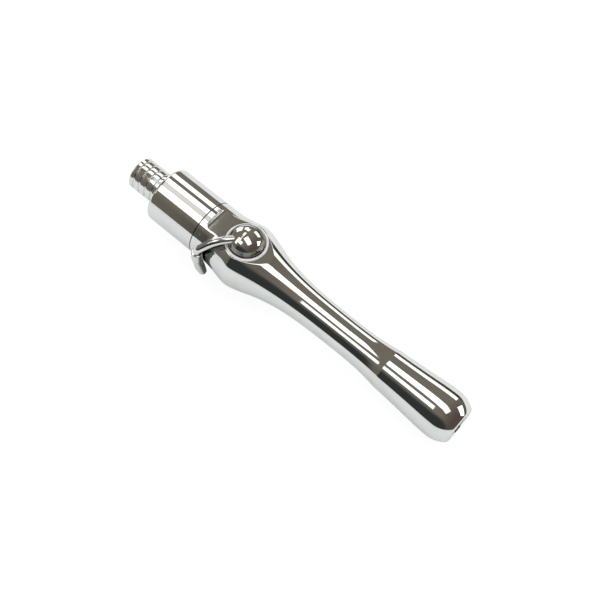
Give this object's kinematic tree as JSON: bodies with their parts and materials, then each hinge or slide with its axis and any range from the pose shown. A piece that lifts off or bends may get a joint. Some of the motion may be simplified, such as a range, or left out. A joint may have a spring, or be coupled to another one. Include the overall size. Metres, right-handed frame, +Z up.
{
  "type": "dental vacuum valve",
  "caption": "Hand-held suction valve with a slim bulb-ended grip, a quarter-turn ball-headed plug with a bent wire lever, and a swivelling ribbed hose tail.",
  "frame": {"origin": "on the tip socket's axis, where its straight wall begins just inside the mouth", "axes": "+X out of the mouth along the grip, +Z up through the ball head's axis"},
  "size_m": [0.1505, 0.0282, 0.0274],
  "materials": {
    "polished_chrome": "mirror polished chrome plate",
    "plain_steel": "turned stainless steel",
    "spring_steel": "tempered spring steel",
    "bearing_plastic": "white low-friction plastic",
    "seal_rubber": "moulded black rubber"
  },
  "bodies": {
    "body": {"main_body": "polished_chrome", "rear_barrel": "polished_chrome", "seat_ring": "polished_chrome", "stop_pin": "plain_steel", "plug_thrust_washer": "bearing_plastic", "barrel_joint_seal": "seal_rubber", "swivel_front_washer": "bearing_plastic", "swivel_rear_washer": "bearing_plastic", "tip_front_seal": "seal_rubber", "tip_rear_seal": "seal_rubber"},
    "rotor": {"valve_plug": "plain_steel", "ball_head": "polished_chrome", "lever_wire": "polished_chrome", "thumb_tab": "polished_chrome", "upper_plug_seal": "seal_rubber", "lower_plug_seal": "seal_rubber", "plug_spring_washer": "spring_steel", "plug_retaining_washer": "plain_steel", "plug_retaining_screw": "plain_steel"},
    "tail": {"hose_tail": "polished_chrome", "swivel_front_seal": "seal_rubber", "swivel_rear_seal": "seal_rubber"}
  },
  "joints": [
    {"name": "valve_turn", "type": "hinge", "parent": "body", "child": "rotor", "pos_m": [-0.0966, 0, 0], "axis": [0, 0, 1], "range_deg": [0, 90]},
    {"name": "tail_swivel", "type": "hinge", "parent": "body", "child": "tail", "pos_m": [-0.13, 0, 0], "axis": [1, 0, 0], "continuous": true}
  ]
}
